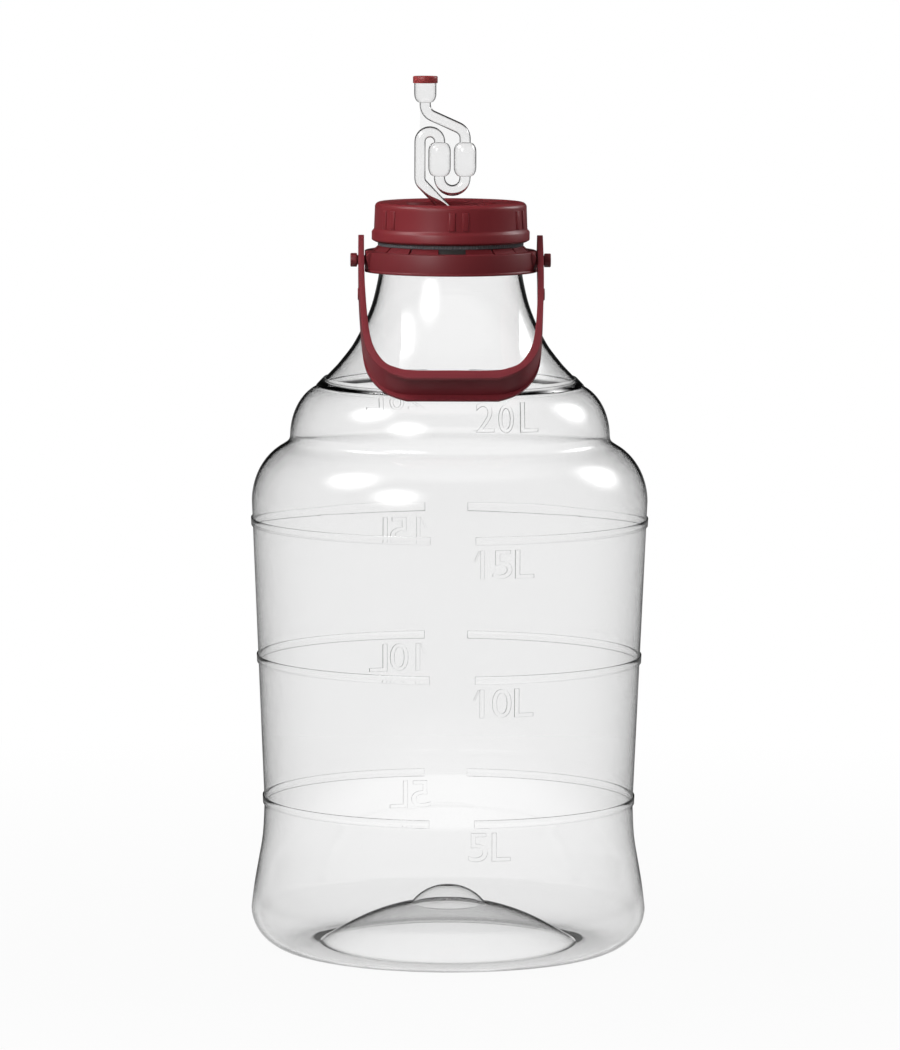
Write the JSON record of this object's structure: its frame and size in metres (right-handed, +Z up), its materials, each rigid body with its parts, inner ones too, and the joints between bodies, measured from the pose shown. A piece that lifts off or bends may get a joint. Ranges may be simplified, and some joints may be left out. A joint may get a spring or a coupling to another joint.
{
  "type": "demijohn",
  "caption": "Clear plastic fermenting bottle with litre bands, a swinging handle on a neck collar, a screw cap and an airlock.",
  "frame": {"origin": "middle of the bottle's standing ring, in the plane that it stands on", "axes": "+Z up along the bottle's axis to the mouth; -Y to the front, where the handle rests and one set of the litre bands' gaps is; X along the handle's pivot axis"},
  "size_m": [0.2744, 0.273, 0.6032],
  "materials": {
    "bottle_clear": "clear blow-moulded PET, glossy",
    "collar_red": "dark red moulded polypropylene, satin",
    "handle_red": "dark red moulded polypropylene, satin",
    "cap_red": "dark red moulded polypropylene, satin",
    "seal_foam": "white closed-cell foam",
    "grommet_rubber": "grey moulded rubber",
    "airlock_clear": "clear moulded styrene, faintly hazy",
    "lid_red": "lighter red moulded polyethylene, satin"
  },
  "bodies": {
    "vessel": {"bottle": "bottle_clear"},
    "collar": {"handle_collar": "collar_red"},
    "handle": {"bail_handle": "handle_red"},
    "seal": {"cap_gasket": "seal_foam"},
    "cap": {"screw_cap": "cap_red"},
    "grommet": {"airlock_grommet": "grommet_rubber"},
    "airlock": {"airlock": "airlock_clear"},
    "dust_cap": {"airlock_dust_cap": "lid_red"}
  },
  "joints": [
    {"name": "collar_turn", "type": "hinge", "parent": "vessel", "child": "collar", "pos_m": [0, 0, 0.477], "axis": [0, 0, 1], "continuous": true},
    {"name": "bail_swing", "type": "hinge", "parent": "collar", "child": "handle", "pos_m": [0, 0, 0.477], "axis": [-1, 0, 0], "range_deg": [0, 254]},
    {"name": "cap_rise", "type": "slide", "parent": "vessel", "child": "seal", "axis": [0, 0, 1], "range_m": [0, 0.042]},
    {"name": "cap_turn", "type": "hinge", "parent": "seal", "child": "cap", "pos_m": [0, 0, 0.5], "axis": [0, 0, 1], "range_deg": [0, 2520]},
    {"name": "airlock_turn", "type": "hinge", "parent": "cap", "child": "grommet", "pos_m": [0, 0, 0.5], "axis": [0, 0, 1], "continuous": true},
    {"name": "airlock_pull", "type": "slide", "parent": "grommet", "child": "airlock", "axis": [0, 0, 1], "range_m": [0, 0.032]},
    {"name": "dust_cap_lift", "type": "slide", "parent": "airlock", "child": "dust_cap", "axis": [0, 0, 1], "range_m": [0, 0.01]}
  ],
  "couplings": [
    {"joint": "cap_rise", "follows": "cap_turn", "m_per_rad": 0.00095493}
  ]
}
